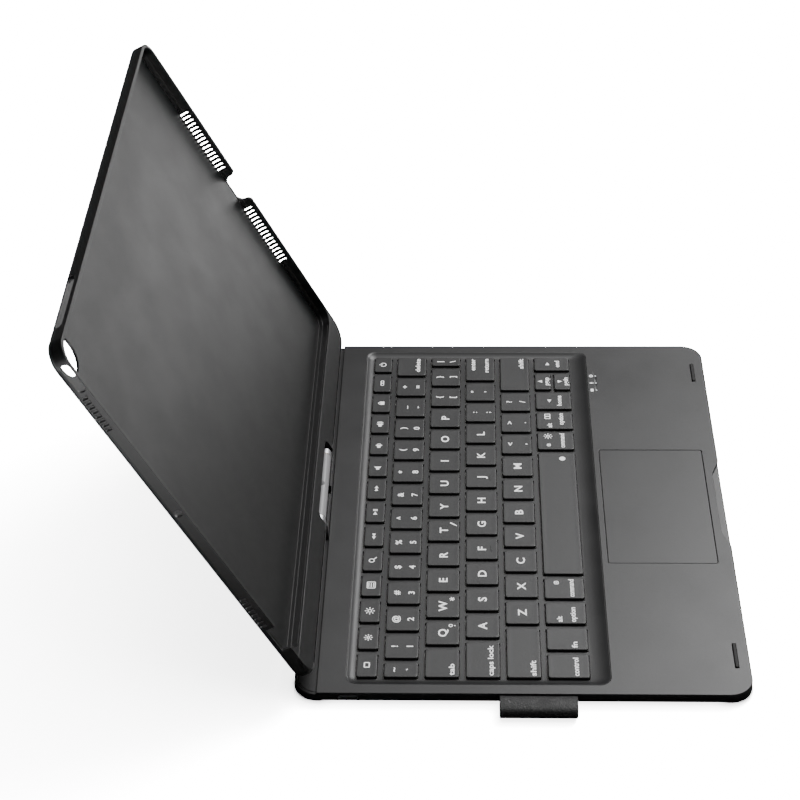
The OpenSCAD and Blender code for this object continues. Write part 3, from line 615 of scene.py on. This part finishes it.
def letters(text, x, y, height, length=None, side=0):
    """A text whose capitals have that height and are centred on y. It is centred on x, or starts (-1)
    or ends (1) there, and takes a length when one is given."""
    sheet, faces = raw_text(text)
    clean = bmesh.new()
    corners = [clean.verts.new((px, py, 0)) for px, py in sheet]
    for face in faces:
        clean.faces.new([corners[i] for i in face])
    bmesh.ops.remove_doubles(clean, verts=clean.verts, dist=1e-5)
    clean.verts.index_update()
    sheet = np.array([v.co[:2] for v in clean.verts])
    faces = [[v.index for v in face.verts] for face in clean.faces]
    if clean.faces and sum(face.calc_area() * face.normal.z for face in clean.faces) < 0:
        faces = [face[::-1] for face in faces]
    clean.free()
    left, right = sheet[:, 0].min(), sheet[:, 0].max()
    grow = height / CAPITAL
    stretch = length / (right - left) if length else grow * WIDEN
    anchor = {-1: left, 0: (left + right) / 2, 1: right}[side]
    placed = np.column_stack(((sheet[:, 0] - anchor) * stretch + x,
                              (sheet[:, 1] - CAPITAL / 2) * grow + y))
    return solid_from_sheet(placed, faces)


print("capital height of the font:", round(float(CAPITAL), 3))

# %% [markdown]
# ## The signs of the top row
# Each sign is a short list of strokes about the middle of its key. They are the plain signs that any
# keyboard of this sort has: home, dimmer and brighter, on-screen keys, search, the player's signs,
# the loudspeaker, lock, link and power.

# %% Signs
SIGN = 1.35 * MM
LINE = 0.32 * SIGN


def sun(x, y, radius):
    """A ring with eight rays."""
    turn = np.arange(8) * 45
    reach = radius + 0.75 * SIGN
    rays = [bar(x + reach * math.cos(math.radians(a)), y + reach * math.sin(math.radians(a)),
                0.6 * SIGN, LINE, a) for a in turn]
    return [arc(x, y, radius, LINE)] + rays


def speaker(x, y, waves):
    """A box and a cone, with a number of waves to its right."""
    w = 0.55 * SIGN
    body = plate(np.array([[-2, -1], [-0.8, -1], [1, -2.4], [1, 2.4], [-0.8, 1], [-2, 1]]) * w + (x - w, y))
    return [body] + [arc(x - w, y, (1.1 + 0.55 * i) * SIGN, LINE, -42, 42, 8) for i in range(waves)]


def skip(x, y, angle):
    """Two triangles one behind the other."""
    step = 0.95 * SIGN * math.cos(math.radians(angle))
    return [arrow(x - step / 2, y, 0.85 * SIGN, angle), arrow(x + step, y, 0.85 * SIGN, angle)]


def screen_keys(x, y):
    """A keyboard drawn as a frame with three rows."""
    rows = [bar(x, y + i * 0.8 * SIGN, 2.0 * SIGN, LINE) for i in (-1, 0, 1)]
    return [frame_mark(x, y, 3.3 * SIGN, 3.0 * SIGN, LINE, 0.5 * SIGN)] + rows


def search(x, y):
    """A ring with a handle."""
    ring = arc(x - 0.3 * SIGN, y + 0.3 * SIGN, 0.85 * SIGN, LINE)
    return [ring, bar(x + 0.9 * SIGN, y - 0.9 * SIGN, 1.3 * SIGN, LINE, -45)]


def play_pause(x, y):
    """A triangle and two bars."""
    bars = [bar(x + (0.7 + 0.6 * i) * SIGN, y, LINE, 1.6 * SIGN) for i in (0, 1)]
    return [arrow(x - 0.8 * SIGN, y, 0.95 * SIGN, 0)] + bars


def padlock(x, y):
    """A block under a bow."""
    block = bar(x, y - 0.4 * SIGN, 1.9 * SIGN, 1.5 * SIGN)
    return [block, arc(x, y + 0.35 * SIGN, 0.65 * SIGN, LINE, 0, 180, 9)]


def link(x, y):
    """Two rounded frames that meet."""
    return [frame_mark(x + i * 0.75 * SIGN, y, 1.7 * SIGN, 1.3 * SIGN, LINE, 0.5 * SIGN) for i in (-1, 1)]


def power(x, y):
    """An open ring with a bar in its gap."""
    return [arc(x, y, 1.05 * SIGN, LINE, 125, 415), bar(x, y + 0.9 * SIGN, LINE, 1.3 * SIGN)]


def home(x, y):
    """A rounded frame."""
    return [frame_mark(x, y, 2.5 * SIGN, 2.0 * SIGN, 0.4 * SIGN, 0.5 * SIGN)]


TOP_ROW = (home, lambda x, y: sun(x, y, 0.42 * SIGN), lambda x, y: sun(x, y, 0.62 * SIGN),
           screen_keys, search, lambda x, y: skip(x, y, 180), play_pause, lambda x, y: skip(x, y, 0),
           lambda x, y: speaker(x, y, 0), lambda x, y: speaker(x, y, 1), lambda x, y: speaker(x, y, 2),
           padlock, link)

# %% [markdown]
# ## Placing the marks
# A letter sits in the middle of its cap. A key with two characters has one near the rear edge and one
# near the front. Words start at the left edge of the keys on the left, and end at the right edge of
# those on the right.

# %% Marks of each row
PAIRS = {
    "keys_number": ("~`", "!1", "@2", "#3", "$4", "%5", "^6", "&7", "*8", "(9", ")0", "_-", "+="),
    "keys_upper": (*"QWERTYUIOP", "{[", "}]", "|\\"),
    "keys_home": (*"ASDFGHJKL", ":;", "\"'"),
    "keys_lower": (*"ZXCVBNM", "<,", ">.", "?/"),
}
REAR_AT, FRONT_AT = 3.2 * MM, -3.5 * MM
SMALL, CAPITALS = 2.9 * MM, 3.9 * MM

marks = {node: [] for node in places}
for node, texts in PAIRS.items():
    for (x0, x1, y0, y1, low, top), text in zip(places[node], texts):
        x, y = (x0 + x1) / 2, (y0 + y1) / 2
        if len(text) == 1:
            marks[node].append(letters(text, x, y, CAPITALS))
        else:
            marks[node] += [letters(text[0], x, y + REAR_AT, SMALL), letters(text[1], x, y + FRONT_AT, SMALL)]
for (x0, x1, y0, y1, low, top), sign in zip(places["keys_function"], TOP_ROW):
    marks["keys_function"] += sign((x0 + x1) / 2, (y0 + y1) / 2)
x0, x1, y0, y1, low, top = places["key_power"][0]
marks["key_power"] += power((x0 + x1) / 2, (y0 + y1) / 2)
print("letters and signs:", sum(len(strokes) for strokes in marks.values()))

# %% Words
# Each row: node, word, side it starts from, distance in front of the key's rear edge, length.
WORDS = (
    ("key_delete", "delete", 1, 10.6, 11.2), ("key_tab", "tab", -1, 11.6, 7.0),
    ("key_caps_lock", "caps lock", -1, 10.8, 18.4), ("key_enter", "enter", 1, 3.7, 10.0),
    ("key_enter", "return", 1, 10.7, 11.6), ("key_shift_left", "shift", -1, 11.5, 9.2),
    ("key_shift_right", "shift", 1, 11.0, 8.4), ("key_control", "control", -1, 12.2, 11.0),
    ("key_fn", "fn", -1, 12.2, 3.8), ("key_option_left", "alt", -1, 6.2, 3.6),
    ("key_option_left", "option", -1, 12.2, 9.4), ("key_command_left", "command", -1, 12.2, 11.4),
    ("key_command_right", "command", 1, 12.2, 11.0), ("key_option_right", "alt", -1, 6.4, 3.4),
    ("key_option_right", "option", 1, 12.2, 9.2), ("key_arrow_left", "home", 0, 11.9, 8.4),
    ("key_arrow_up", "pgup", 0, 6.0, 6.6), ("key_arrow_down", "pgdn", 0, 6.0, 6.6),
    ("key_arrow_right", "end", 0, 11.9, 5.4),
)
MARGIN = 1.1 * MM
SMALL_WORD = 2.45 * MM
for node, word, side, back, length in WORDS:
    x0, x1, y0, y1, low, top = places[node][0]
    x = {-1: x0 + MARGIN, 0: (x0 + x1) / 2, 1: x1 - MARGIN}[side]
    marks[node].append(letters(word, x, y1 - back * MM, SMALL_WORD, length * MM, side))

# %% Arrows and helper signs
for node, angle, back in (("key_arrow_left", 180, 7.0), ("key_arrow_right", 0, 7.0),
                          ("key_arrow_up", 90, 2.9), ("key_arrow_down", 270, 2.9)):
    x0, x1, y0, y1, low, top = places[node][0]
    marks[node].append(arrow((x0 + x1) / 2, y1 - back * MM, 1.4 * MM, angle))


def beside_letter(row, index):
    """A point to the right of and in front of the letter on one key of a row."""
    x0, x1, y0, y1, low, top = places[row][index]
    return (x0 + x1) / 2 + 4.6 * MM, (y0 + y1) / 2 - 4.2 * MM


x, y = beside_letter("keys_upper", 0)
marks["keys_upper"] += [arc(x, y + 0.5 * MM, 0.75 * MM, LINE), disc(x, y - 1.3 * MM, 0.35 * MM, 10)]
x, y = beside_letter("keys_upper", 1)
marks["keys_upper"] += [bar(x, y, 2.4 * MM, LINE, a) for a in (20, 80, 140)]
x, y = beside_letter("keys_upper", 4)
marks["keys_upper"] += [bar(x, y, 2.8 * MM, 0.75 * MM, 55),
                        bar(x - 1.1 * MM, y - 1.5 * MM, 1.2 * MM, LINE, 55)]

x0, x1, y0, y1, low, top = places["key_space"][0]
marks["key_space"].append(disc(x1 - 4.6 * MM, y1 - 11.8 * MM, 1.5 * MM, 24))
x0, x1, y0, y1, low, top = places["key_command_left"][0]
marks["key_command_left"] += [frame_mark(x1 - 3.2 * MM, y1 - 5.6 * MM, 2.2 * MM, 2.2 * MM, LINE, 0.7 * MM),
                              disc(x1 - 3.2 * MM, y1 - 5.6 * MM, 0.4 * MM, 10)]
x0, x1, y0, y1, low, top = places["key_command_right"][0]
marks["key_command_right"] += sun(x1 - 3.2 * MM, y1 - 5.4 * MM, 0.75 * MM)
marks["key_command_right"] += [frame_mark(x0 + 3.4 * MM, y1 - 5.6 * MM, 1.9 * MM, 1.9 * MM, LINE, 0.6 * MM),
                               disc(x0 + 3.4 * MM, y1 - 5.6 * MM, 0.35 * MM, 10)]
x0, x1, y0, y1, low, top = places["key_option_right"][0]
marks["key_option_right"] += [frame_mark(x1 - (2.5 + 2.0 * i) * MM, y1 - 5.6 * MM, 2.1 * MM, 3.0 * MM, LINE,
                                         0.4 * MM) for i in (0, 1)]

for node, strokes in marks.items():
    if strokes:
        points, faces = join(strokes)
        points[:, 2] += places[node][0][5]
        piece = make_piece(node + "_marks", (points, faces), INK, node, smooth=False, replace=False)
print("marks made on", sum(bool(strokes) for strokes in marks.values()), "nodes")

# %% [markdown]
# ## Finger bars and deck marks
# Two raised bars tell the fingers where the F and J keys are. They are the key's own plastic, so they
# show only as a thin line of light and shade. Three small signs stand beside the status lamps.

# %% Finger bars
bars = []
for index in (3, 6):
    x0, x1, y0, y1, low, top = places["keys_home"][index]
    x, y = (x0 + x1) / 2, (y0 + y1) / 2 - 4.5 * MM
    rise = [(0, top - 0.2 * MM), (0, top + 0.12 * MM), (0.08 * MM, top + 0.2 * MM)]
    bars.append(slab(x - 1.9 * MM, x + 1.9 * MM, y - 0.25 * MM, y + 0.25 * MM, 0.2 * MM, rise))
finger_bars = make_piece("finger_bars", join(bars), KEYS, "keys_home", replace=False)

# %% Signs beside the lamps
low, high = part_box("status_lenses")
lamp_xs = np.linspace(low.x + 0.45 * MM, high.x - 0.45 * MM, 3)
y = (low.y + high.y) / 2 + 2.2 * MM
x = lamp_xs[0]
signs = [frame_mark(x, y, 2.2 * MM, 1.5 * MM, LINE, 0.3 * MM), bar(x, y, 1.2 * MM, 0.7 * MM)]
x = lamp_xs[1]
signs += [arrow(x, y + 0.4 * MM, 0.9 * MM, 90), bar(x, y - 0.5 * MM, 0.5 * MM, 1.2 * MM)]
x = lamp_xs[2]
signs += [arc(x, y, 0.85 * MM, LINE), disc(x, y, 0.35 * MM, 10)]
points, faces = join(signs)
points[:, 2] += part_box("deck_casing")[1].z + 0.01 * MM
lamp_signs = make_piece("lamp_signs", (points, faces), INK, "deck_casing", smooth=False, replace=False)
print("finger bars and lamp signs made")

# %% [markdown]
# ## Floor and light
# The case stands on a plain white sheet. Black plastic shows mostly what it mirrors, so the room
# matters as much as the two soft lights: it is bright high up and a little to the front, which puts a
# sheen on the deck and the keys. The sheet is dark where the case stands and paler further off, which
# grades the inside of the shell. The camera itself sees the sheet and the room as plain white, and
# only what the plastic mirrors is graded.

# %% Stage
def panel(name, at, towards, size, power):
    """A rectangular soft light at a point, facing another."""
    data = bpy.data.lights.new(name, "AREA")
    data.shape = "RECTANGLE"
    data.size, data.size_y = size
    data.energy = power
    light = bpy.data.objects.new(name, data)
    light.location = at
    light.rotation_mode = "QUATERNION"
    light.rotation_quaternion = (Vector(towards) - Vector(at)).to_track_quat("-Z", "Y")
    bpy.context.scene.collection.objects.link(light)
    return light


def graded(nodes, links, where, towards, dim, bright, start, end):
    """Grades from dim to bright as the dot product of a vector with a direction goes start to end.
    The dim end may itself be the result of another grading."""
    along = nodes.new("ShaderNodeVectorMath")
    along.operation = "DOT_PRODUCT"
    along.inputs[1].default_value = towards
    links.new(where, along.inputs[0])
    reach = nodes.new("ShaderNodeMapRange")
    reach.interpolation_type = "SMOOTHSTEP"
    for name, value in (("From Min", start), ("From Max", end), ("To Max", bright)):
        reach.inputs[name].default_value = value
    if isinstance(dim, bpy.types.NodeSocket):
        links.new(dim, reach.inputs["To Min"])
    else:
        reach.inputs["To Min"].default_value = dim
    links.new(along.outputs["Value"], reach.inputs["Value"])
    return reach.outputs["Result"]


def seen_white(nodes, links, otherwise, white):
    """A value that is white to the camera itself, and another to every mirrored or scattered ray."""
    path = nodes.new("ShaderNodeLightPath")
    choice = nodes.new("ShaderNodeMix")
    choice.inputs[3].default_value = white
    links.new(path.outputs["Is Camera Ray"], choice.inputs[0])
    links.new(otherwise, choice.inputs[2])
    return choice.outputs[0]


FLOOR_HALF = 6.0
PAPER_WHITE, PAPER_GLOW, ROOM_WHITE = 16.0, 4.0, 30.0
floor_mesh = bpy.data.meshes.new("floor")
floor_mesh.from_pydata([(-FLOOR_HALF, -FLOOR_HALF, 0), (FLOOR_HALF, -FLOOR_HALF, 0),
                        (FLOOR_HALF, FLOOR_HALF, 0), (-FLOOR_HALF, FLOOR_HALF, 0)], [], [(0, 1, 2, 3)])
floor = bpy.data.objects.new("floor", floor_mesh)
floor_finish, nodes, links, shader, where = new_finish("floor_paper", 0.9)
shader.inputs["Specular IOR Level"].default_value = 0.0
near = graded(nodes, links, where, (-1, 0, 0), 0.05, 4.0, 0.20, 0.42)
shade = graded(nodes, links, where, (1, 0, 0), near, 1.1, 0.06, 0.50)
links.new(seen_white(nodes, links, shade, PAPER_WHITE), shader.inputs["Base Color"])
shader.inputs["Emission Color"].default_value = (1, 1, 1, 1)
dark = nodes.new("ShaderNodeValue")
dark.outputs[0].default_value = 0.0
links.new(seen_white(nodes, links, dark.outputs[0], PAPER_GLOW), shader.inputs["Emission Strength"])
floor_mesh.materials.append(floor_finish)
bpy.context.scene.collection.objects.link(floor)

world = bpy.data.worlds.new("studio")
world.use_nodes = True
nodes, links = world.node_tree.nodes, world.node_tree.links
heading = nodes.new("ShaderNodeTexCoord").outputs["Generated"]
glow = graded(nodes, links, heading, (0.22, -0.40, 0.89), 0.20, 14.0, 0.50, 0.98)
links.new(seen_white(nodes, links, glow, ROOM_WHITE), nodes["Background"].inputs["Strength"])
bpy.context.scene.world = world
panel("overhead", (0.3, -0.2, 1.6), (0, 0, 0), (1.6, 1.6), 12)
panel("right_side", (0.95, -0.80, 1.30), (0, 0, 0), (1.1, 1.0), 40)
print("stage set")
